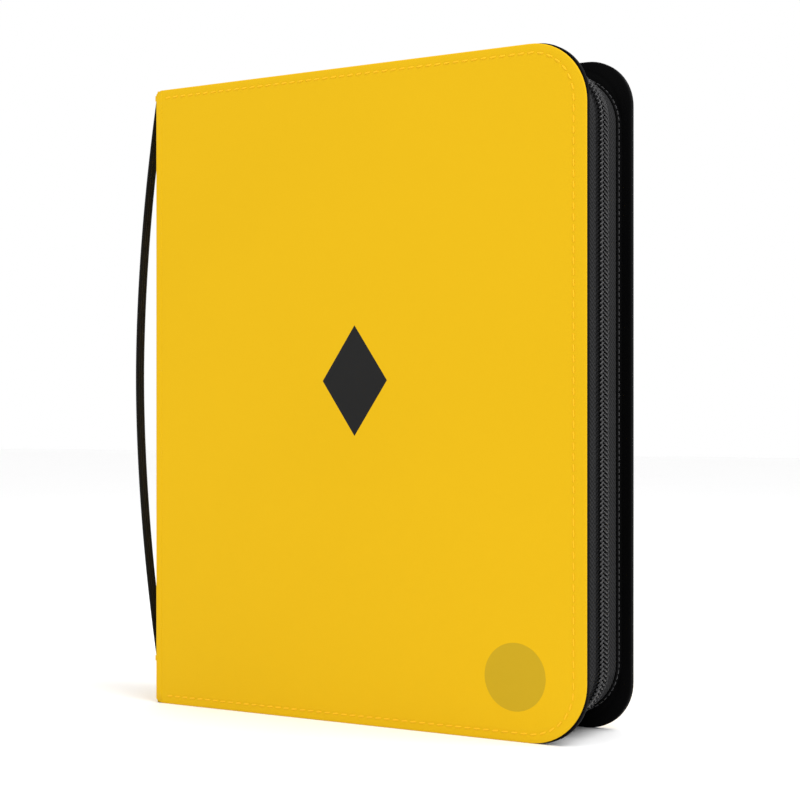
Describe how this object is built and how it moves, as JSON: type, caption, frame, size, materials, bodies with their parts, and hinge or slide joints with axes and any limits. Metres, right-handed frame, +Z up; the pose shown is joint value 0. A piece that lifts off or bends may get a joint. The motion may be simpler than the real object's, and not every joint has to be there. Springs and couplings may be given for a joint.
{
  "type": "zip card binder",
  "caption": "Zip-around card binder with two padded covers folding about a flat spine, a side carry strap, a zip slider with its pull, and thin pocket pages that fan open.",
  "frame": {"origin": "middle of the footprint of the closed binder with its strap, on the surface it stands on", "axes": "+X from the spine towards the fore-edge, +Y from the front cover to the rear cover, +Z up the spine"},
  "size_m": [0.2864, 0.058, 0.345],
  "materials": {
    "yellow_pu": "smooth fine-grained polyurethane coated cloth",
    "foam": "thin padding",
    "greyboard": "plain greyboard",
    "black_pu": "fine-grained black polyurethane coated cloth",
    "zip_tape": "woven polyester tape",
    "zip_coil": "nylon coil",
    "emblem_black": "printed matt black",
    "badge_olive": "debossed tone on tone",
    "black_zinc": "black plated zinc casting",
    "strap_webbing": "ribbed woven webbing",
    "binding_cloth": "woven binding cloth",
    "page_film": "black page with clear pockets"
  },
  "bodies": {
    "spine": {"spine_skin": "yellow_pu", "spine_board": "greyboard", "spine_lining": "black_pu", "page_binding": "binding_cloth", "handle_anchor_low": "yellow_pu", "handle_anchor_high": "yellow_pu"},
    "front_cover": {"front_cover_board": "greyboard", "front_cover_foam": "foam", "front_cover_lining": "black_pu", "front_cover_skin": "yellow_pu", "front_emblem": "emblem_black", "front_gusset": "black_pu", "front_zip_coil": "zip_coil", "front_zip_tape": "zip_tape", "corner_badge": "badge_olive"},
    "rear_cover": {"rear_cover_board": "greyboard", "rear_cover_foam": "foam", "rear_cover_lining": "black_pu", "rear_cover_skin": "yellow_pu", "rear_gusset": "black_pu", "rear_zip_coil": "zip_coil", "rear_zip_tape": "zip_tape", "zip_stops": "black_zinc"},
    "handle": {"handle_strap": "strap_webbing"},
    "zip_slider": {"zip_slider": "black_zinc"},
    "zip_pull": {"zip_pull": "black_zinc"},
    "page_01": {"page_01": "page_film"},
    "page_02": {"page_02": "page_film"},
    "page_03": {"page_03": "page_film"},
    "page_04": {"page_04": "page_film"},
    "page_05": {"page_05": "page_film"},
    "page_06": {"page_06": "page_film"},
    "page_07": {"page_07": "page_film"},
    "page_08": {"page_08": "page_film"},
    "page_09": {"page_09": "page_film"},
    "page_10": {"page_10": "page_film"},
    "page_11": {"page_11": "page_film"},
    "page_12": {"page_12": "page_film"},
    "page_13": {"page_13": "page_film"},
    "page_14": {"page_14": "page_film"},
    "page_15": {"page_15": "page_film"},
    "page_16": {"page_16": "page_film"},
    "page_17": {"page_17": "page_film"},
    "page_18": {"page_18": "page_film"},
    "page_19": {"page_19": "page_film"},
    "page_20": {"page_20": "page_film"}
  },
  "joints": [
    {"name": "front_fold", "type": "hinge", "parent": "spine", "child": "front_cover", "pos_m": [-0.12385, -0.029, 0.1725], "axis": [0, 0, -1], "range_deg": [0, 90]},
    {"name": "rear_fold", "type": "hinge", "parent": "spine", "child": "rear_cover", "pos_m": [-0.12385, 0.029, 0.1725], "axis": [0, 0, 1], "range_deg": [0, 90]},
    {"name": "handle_swing", "type": "hinge", "parent": "spine", "child": "handle", "pos_m": [-0.12705, -0.02075, 0.183], "axis": [0, 0, 1], "range_deg": [-25, 25]},
    {"name": "zip_slide", "type": "slide", "parent": "rear_cover", "child": "zip_slider", "axis": [1, 0, 0], "range_m": [0, 0.18]},
    {"name": "pull_tip", "type": "hinge", "parent": "zip_slider", "child": "zip_pull", "pos_m": [-0.09955, 0, 0.3405], "axis": [0, -1, 0], "range_deg": [0, 165]},
    {"name": "page_01_turn", "type": "hinge", "parent": "spine", "child": "page_01", "pos_m": [-0.11805, -0.0194, 0.1725], "axis": [0, 0, -1], "range_deg": [0, 85.1]},
    {"name": "page_02_turn", "type": "hinge", "parent": "spine", "child": "page_02", "pos_m": [-0.11805, -0.01736, 0.1725], "axis": [0, 0, -1], "range_deg": [0, 76.2]},
    {"name": "page_03_turn", "type": "hinge", "parent": "spine", "child": "page_03", "pos_m": [-0.11805, -0.01532, 0.1725], "axis": [0, 0, -1], "range_deg": [0, 67.3]},
    {"name": "page_04_turn", "type": "hinge", "parent": "spine", "child": "page_04", "pos_m": [-0.11805, -0.01327, 0.1725], "axis": [0, 0, -1], "range_deg": [0, 58.4]},
    {"name": "page_05_turn", "type": "hinge", "parent": "spine", "child": "page_05", "pos_m": [-0.11805, -0.01123, 0.1725], "axis": [0, 0, -1], "range_deg": [0, 49.5]},
    {"name": "page_06_turn", "type": "hinge", "parent": "spine", "child": "page_06", "pos_m": [-0.11805, -0.00919, 0.1725], "axis": [0, 0, -1], "range_deg": [0, 40.6]},
    {"name": "page_07_turn", "type": "hinge", "parent": "spine", "child": "page_07", "pos_m": [-0.11805, -0.00715, 0.1725], "axis": [0, 0, -1], "range_deg": [0, 31.7]},
    {"name": "page_08_turn", "type": "hinge", "parent": "spine", "child": "page_08", "pos_m": [-0.11805, -0.00511, 0.1725], "axis": [0, 0, -1], "range_deg": [0, 22.8]},
    {"name": "page_09_turn", "type": "hinge", "parent": "spine", "child": "page_09", "pos_m": [-0.11805, -0.00306, 0.1725], "axis": [0, 0, -1], "range_deg": [0, 13.9]},
    {"name": "page_10_turn", "type": "hinge", "parent": "spine", "child": "page_10", "pos_m": [-0.11805, -0.00102, 0.1725], "axis": [0, 0, -1], "range_deg": [0, 5]},
    {"name": "page_11_turn", "type": "hinge", "parent": "spine", "child": "page_11", "pos_m": [-0.11805, 0.00102, 0.1725], "axis": [0, 0, 1], "range_deg": [0, 5]},
    {"name": "page_12_turn", "type": "hinge", "parent": "spine", "child": "page_12", "pos_m": [-0.11805, 0.00306, 0.1725], "axis": [0, 0, 1], "range_deg": [0, 13.9]},
    {"name": "page_13_turn", "type": "hinge", "parent": "spine", "child": "page_13", "pos_m": [-0.11805, 0.00511, 0.1725], "axis": [0, 0, 1], "range_deg": [0, 22.8]},
    {"name": "page_14_turn", "type": "hinge", "parent": "spine", "child": "page_14", "pos_m": [-0.11805, 0.00715, 0.1725], "axis": [0, 0, 1], "range_deg": [0, 31.7]},
    {"name": "page_15_turn", "type": "hinge", "parent": "spine", "child": "page_15", "pos_m": [-0.11805, 0.00919, 0.1725], "axis": [0, 0, 1], "range_deg": [0, 40.6]},
    {"name": "page_16_turn", "type": "hinge", "parent": "spine", "child": "page_16", "pos_m": [-0.11805, 0.01123, 0.1725], "axis": [0, 0, 1], "range_deg": [0, 49.5]},
    {"name": "page_17_turn", "type": "hinge", "parent": "spine", "child": "page_17", "pos_m": [-0.11805, 0.01327, 0.1725], "axis": [0, 0, 1], "range_deg": [0, 58.4]},
    {"name": "page_18_turn", "type": "hinge", "parent": "spine", "child": "page_18", "pos_m": [-0.11805, 0.01532, 0.1725], "axis": [0, 0, 1], "range_deg": [0, 67.3]},
    {"name": "page_19_turn", "type": "hinge", "parent": "spine", "child": "page_19", "pos_m": [-0.11805, 0.01736, 0.1725], "axis": [0, 0, 1], "range_deg": [0, 76.2]},
    {"name": "page_20_turn", "type": "hinge", "parent": "spine", "child": "page_20", "pos_m": [-0.11805, 0.0194, 0.1725], "axis": [0, 0, 1], "range_deg": [0, 85.1]}
  ],
  "couplings": [
    {"joint": "page_01_turn", "follows": "front_fold", "ratio": 0.94},
    {"joint": "page_02_turn", "follows": "front_fold", "ratio": 0.8411},
    {"joint": "page_03_turn", "follows": "front_fold", "ratio": 0.7422},
    {"joint": "page_04_turn", "follows": "front_fold", "ratio": 0.6433},
    {"joint": "page_05_turn", "follows": "front_fold", "ratio": 0.5444},
    {"joint": "page_06_turn", "follows": "front_fold", "ratio": 0.4456},
    {"joint": "page_07_turn", "follows": "front_fold", "ratio": 0.3467},
    {"joint": "page_08_turn", "follows": "front_fold", "ratio": 0.2478},
    {"joint": "page_09_turn", "follows": "front_fold", "ratio": 0.1489},
    {"joint": "page_10_turn", "follows": "front_fold", "ratio": 0.05},
    {"joint": "page_11_turn", "follows": "rear_fold", "ratio": 0.05},
    {"joint": "page_12_turn", "follows": "rear_fold", "ratio": 0.1489},
    {"joint": "page_13_turn", "follows": "rear_fold", "ratio": 0.2478},
    {"joint": "page_14_turn", "follows": "rear_fold", "ratio": 0.3467},
    {"joint": "page_15_turn", "follows": "rear_fold", "ratio": 0.4456},
    {"joint": "page_16_turn", "follows": "rear_fold", "ratio": 0.5444},
    {"joint": "page_17_turn", "follows": "rear_fold", "ratio": 0.6433},
    {"joint": "page_18_turn", "follows": "rear_fold", "ratio": 0.7422},
    {"joint": "page_19_turn", "follows": "rear_fold", "ratio": 0.8411},
    {"joint": "page_20_turn", "follows": "rear_fold", "ratio": 0.94}
  ]
}
